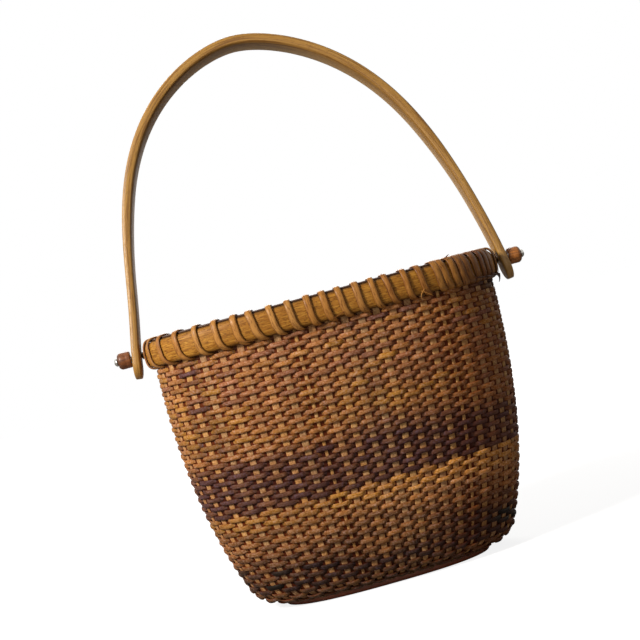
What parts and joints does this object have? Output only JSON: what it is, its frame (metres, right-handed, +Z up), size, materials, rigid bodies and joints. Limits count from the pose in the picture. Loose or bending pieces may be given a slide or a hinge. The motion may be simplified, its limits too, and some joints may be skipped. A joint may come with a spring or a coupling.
{
  "type": "nantucket basket",
  "caption": "Oval rigid woven cane basket on a wooden base plate, with a half-round hoop rim lashed in cane and a bent wooden bow handle that swings on two riveted ear pins with turned knobs.",
  "frame": {"origin": "middle of the flat underside of the wooden base plate", "axes": "+Z up to the rim, X along the long way of the oval and through both handle pins, -Y towards the front"},
  "size_m": [0.2383, 0.1172, 0.3191],
  "materials": {
    "handle_wood": "golden steam-bent oak under worn varnish",
    "hoop_wood": "golden half-round rattan, varnished",
    "stave_wood": "aged golden wood staves, satin",
    "weaver_cane": "aged cane, tan to dark purple-brown in bands, satin",
    "lashing_cane": "flat cane, tan to reddish brown, satin",
    "cap_reed": "dark brown reed",
    "base_wood": "dark reddish-brown wood, waxed",
    "knob_wood": "turned reddish-brown wood, polished",
    "pin_metal": "bright metal pins with domed heads"
  },
  "bodies": {
    "basket": {"base_plate": "base_wood", "stave_01": "stave_wood", "stave_02": "stave_wood", "stave_03": "stave_wood", "stave_04": "stave_wood", "stave_05": "stave_wood", "stave_06": "stave_wood", "stave_07": "stave_wood", "stave_08": "stave_wood", "stave_09": "stave_wood", "stave_10": "stave_wood", "stave_11": "stave_wood", "stave_12": "stave_wood", "stave_13": "stave_wood", "stave_14": "stave_wood", "stave_15": "stave_wood", "stave_16": "stave_wood", "stave_17": "stave_wood", "stave_18": "stave_wood", "stave_19": "stave_wood", "stave_20": "stave_wood", "stave_21": "stave_wood", "stave_22": "stave_wood", "stave_23": "stave_wood", "stave_24": "stave_wood", "stave_25": "stave_wood", "stave_26": "stave_wood", "stave_27": "stave_wood", "stave_28": "stave_wood", "stave_29": "stave_wood", "stave_30": "stave_wood", "stave_31": "stave_wood", "stave_32": "stave_wood", "stave_33": "stave_wood", "stave_34": "stave_wood", "stave_35": "stave_wood", "stave_36": "stave_wood", "stave_37": "stave_wood", "stave_38": "stave_wood", "stave_39": "stave_wood", "stave_40": "stave_wood", "stave_41": "stave_wood", "stave_42": "stave_wood", "stave_43": "stave_wood", "stave_44": "stave_wood", "stave_45": "stave_wood", "stave_46": "stave_wood", "stave_47": "stave_wood", "weave_outer": "weaver_cane", "weave_inner": "weaver_cane", "outer_hoop": "hoop_wood", "inner_hoop": "hoop_wood", "rim_cap": "cap_reed", "lashing_front": "lashing_cane", "lashing_back": "lashing_cane", "pin_left": "pin_metal", "pin_right": "pin_metal"},
    "handle": {"handle_bow": "handle_wood", "knob_left": "knob_wood", "knob_right": "knob_wood"}
  },
  "joints": [
    {"name": "handle_swing", "type": "hinge", "parent": "basket", "child": "handle", "pos_m": [0, 0, 0.1542], "axis": [1, 0, 0], "range_deg": [-140, 160]}
  ]
}
